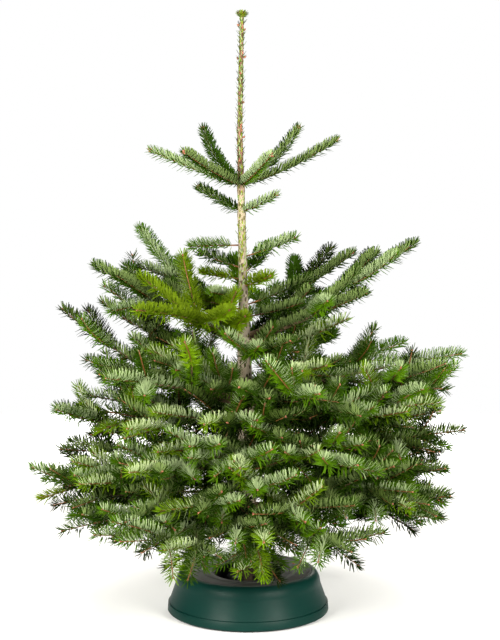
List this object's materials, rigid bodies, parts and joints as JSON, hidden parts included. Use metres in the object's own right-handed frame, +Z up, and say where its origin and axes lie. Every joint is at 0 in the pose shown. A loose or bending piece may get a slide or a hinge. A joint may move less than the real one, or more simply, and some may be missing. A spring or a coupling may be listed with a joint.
{
  "type": "cut fir christmas tree",
  "caption": "Cut fir with a slim bare leader, an open top whorl and full lower boughs, gripped by claws in the water well of a round moulded stand.",
  "frame": {"origin": "centre of the stand's flat underside, where the tree stands on the floor", "axes": "+Z up along the trunk, -Y towards the front, +X to the right seen from the front"},
  "size_m": [1.1297, 1.0085, 1.548],
  "materials": {
    "bark": "smooth grey-beige young bark with needle scars",
    "bough_bark": "brown to orange-brown twig bark",
    "foliage": "flat glossy green needles, pale below",
    "stand_shell": "dark green moulded plastic, fine grain, satin",
    "stand_plate": "dark grey moulded plastic, grained",
    "stand_well": "black moulded plastic",
    "stand_clamp": "black glass-filled plastic, satin",
    "stand_base": "black moulded plastic with rubbery feet"
  },
  "bodies": {
    "root": {"bough_bottom_back_left": "bough_bark", "bough_bottom_back_right": "bough_bark", "bough_bottom_front_left": "bough_bark", "bough_bottom_front_right": "bough_bark", "bough_bottom_left": "bough_bark", "bough_bottom_right": "bough_bark", "bough_lower_back": "bough_bark", "bough_lower_front_left": "bough_bark", "bough_lower_front_right": "bough_bark", "bough_lower_left": "bough_bark", "bough_lower_right": "bough_bark", "bough_middle_back_left": "bough_bark", "bough_middle_back_right": "bough_bark", "bough_middle_front_left": "bough_bark", "bough_middle_front_right": "bough_bark", "bough_middle_left": "bough_bark", "bough_middle_right": "bough_bark", "bough_upper_back_left": "bough_bark", "bough_upper_back_right": "bough_bark", "bough_upper_front_left": "bough_bark", "bough_upper_front_right": "bough_bark", "bough_upper_left": "bough_bark", "bough_upper_right": "bough_bark", "foliage_bottom_back_left": "foliage", "foliage_bottom_back_right": "foliage", "foliage_bottom_front_left": "foliage", "foliage_bottom_front_right": "foliage", "foliage_bottom_left": "foliage", "foliage_bottom_right": "foliage", "foliage_lower_back": "foliage", "foliage_lower_front_left": "foliage", "foliage_lower_front_right": "foliage", "foliage_lower_left": "foliage", "foliage_lower_right": "foliage", "foliage_middle_back_left": "foliage", "foliage_middle_back_right": "foliage", "foliage_middle_front_left": "foliage", "foliage_middle_front_right": "foliage", "foliage_middle_left": "foliage", "foliage_middle_right": "foliage", "foliage_neck_left": "foliage", "foliage_neck_right": "foliage", "foliage_top_back_left": "foliage", "foliage_top_back_right": "foliage", "foliage_top_front_left": "foliage", "foliage_top_front_right": "foliage", "foliage_top_left": "foliage", "foliage_top_right": "foliage", "foliage_upper_back_left": "foliage", "foliage_upper_back_right": "foliage", "foliage_upper_front_left": "foliage", "foliage_upper_front_right": "foliage", "foliage_upper_left": "foliage", "foliage_upper_right": "foliage", "stand_base": "stand_base", "stand_clamp": "stand_clamp", "stand_shell": "stand_shell", "stand_top_plate": "stand_plate", "stand_well": "stand_well", "trunk": "bark"}
  },
  "joints": []
}
